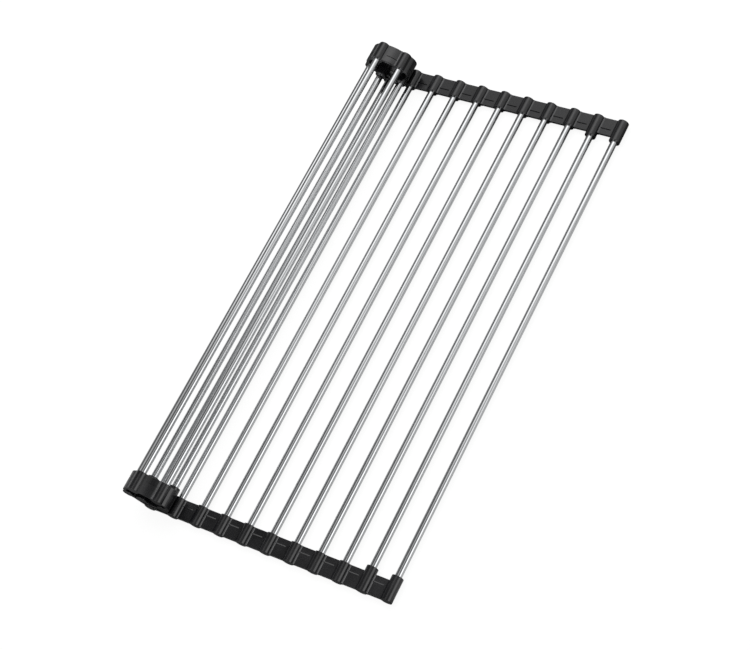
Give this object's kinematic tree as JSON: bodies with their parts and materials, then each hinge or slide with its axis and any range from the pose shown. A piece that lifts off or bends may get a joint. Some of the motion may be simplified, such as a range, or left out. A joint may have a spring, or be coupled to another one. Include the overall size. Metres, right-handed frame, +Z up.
{
  "type": "roll up dish drying rack",
  "caption": "Roll up dish drying rack of round steel rods held in two flexible black silicone strips, lying flat with one end coiled.",
  "frame": {"origin": "centre of the footprint of the rack as it lies, on the surface under it", "axes": "+Y along the rods, +X along the strips towards the flat free end, +Z up"},
  "size_m": [0.2388, 0.4444, 0.04],
  "materials": {
    "steel": "bright drawn stainless tube",
    "silicone": "matt moulded silicone"
  },
  "bodies": {
    "span_01": {"rod_01": "steel", "front_link_01": "silicone", "rear_link_01": "silicone"},
    "span_02": {"rod_02": "steel", "front_link_02": "silicone", "rear_link_02": "silicone"},
    "span_03": {"rod_03": "steel", "front_link_03": "silicone", "rear_link_03": "silicone"},
    "span_04": {"rod_04": "steel", "front_link_04": "silicone", "rear_link_04": "silicone"},
    "span_05": {"rod_05": "steel", "front_link_05": "silicone", "rear_link_05": "silicone"},
    "span_06": {"rod_06": "steel", "front_link_06": "silicone", "rear_link_06": "silicone"},
    "span_07": {"rod_07": "steel", "front_link_07": "silicone", "rear_link_07": "silicone"},
    "span_08": {"rod_08": "steel", "front_link_08": "silicone", "rear_link_08": "silicone"},
    "span_09": {"rod_09": "steel", "front_link_09": "silicone", "rear_link_09": "silicone"},
    "span_10": {"rod_10": "steel", "front_link_10": "silicone", "rear_link_10": "silicone"},
    "span_11": {"rod_11": "steel", "front_link_11": "silicone", "rear_link_11": "silicone"},
    "span_12": {"rod_12": "steel", "front_link_12": "silicone", "rear_link_12": "silicone"},
    "span_13": {"rod_13": "steel", "front_link_13": "silicone", "rear_link_13": "silicone"},
    "span_14": {"rod_14": "steel", "front_link_14": "silicone", "rear_link_14": "silicone"},
    "span_15": {"rod_15": "steel", "front_link_15": "silicone", "rear_link_15": "silicone", "rod_16": "steel"}
  },
  "joints": [
    {"name": "bend_02", "type": "hinge", "parent": "span_01", "child": "span_02", "pos_m": [0.09305, 0, 0.0045], "axis": [0, 1, 0], "range_deg": [-15, 28]},
    {"name": "bend_03", "type": "hinge", "parent": "span_02", "child": "span_03", "pos_m": [0.07145, 0, 0.0045], "axis": [0, 1, 0], "range_deg": [-15, 31]},
    {"name": "bend_04", "type": "hinge", "parent": "span_03", "child": "span_04", "pos_m": [0.04985, 0, 0.0045], "axis": [0, 1, 0], "range_deg": [-15, 34]},
    {"name": "bend_05", "type": "hinge", "parent": "span_04", "child": "span_05", "pos_m": [0.02825, 0, 0.0045], "axis": [0, 1, 0], "range_deg": [-15, 37]},
    {"name": "bend_06", "type": "hinge", "parent": "span_05", "child": "span_06", "pos_m": [0.00665, 0, 0.0045], "axis": [0, 1, 0], "range_deg": [-15, 40]},
    {"name": "bend_07", "type": "hinge", "parent": "span_06", "child": "span_07", "pos_m": [-0.01495, 0, 0.0045], "axis": [0, 1, 0], "range_deg": [-15, 43]},
    {"name": "bend_08", "type": "hinge", "parent": "span_07", "child": "span_08", "pos_m": [-0.03655, 0, 0.0045], "axis": [0, 1, 0], "range_deg": [-15, 46]},
    {"name": "bend_09", "type": "hinge", "parent": "span_08", "child": "span_09", "pos_m": [-0.05815, 0, 0.0045], "axis": [0, 1, 0], "range_deg": [-15, 49]},
    {"name": "bend_10", "type": "hinge", "parent": "span_09", "child": "span_10", "pos_m": [-0.07975, 0, 0.0045], "axis": [0, 1, 0], "range_deg": [-15, 52]},
    {"name": "bend_11", "type": "hinge", "parent": "span_10", "child": "span_11", "pos_m": [-0.10135, 0, 0.0045], "axis": [0, 1, 0], "range_deg": [-67, 0]},
    {"name": "bend_12", "type": "hinge", "parent": "span_11", "child": "span_12", "pos_m": [-0.11465, 0, 0.02152], "axis": [0, 1, 0], "range_deg": [-77, 0]},
    {"name": "bend_13", "type": "hinge", "parent": "span_12", "child": "span_13", "pos_m": [-0.10341, 0, 0.0353], "axis": [0, 1, 0], "range_deg": [-73.58, 0]},
    {"name": "bend_14", "type": "hinge", "parent": "span_13", "child": "span_14", "pos_m": [-0.08442, 0, 0.02724], "axis": [0, 1, 0], "range_deg": [-61.83, 0]},
    {"name": "bend_15", "type": "hinge", "parent": "span_14", "child": "span_15", "pos_m": [-0.0849, 0, 0.01342], "axis": [0, 1, 0], "range_deg": [-86.79, 0]}
  ],
  "couplings": [
    {"joint": "bend_13", "follows": "bend_12", "ratio": 0.95544},
    {"joint": "bend_14", "follows": "bend_12", "ratio": 0.80289},
    {"joint": "bend_15", "follows": "bend_12", "ratio": 1.1271}
  ]
}
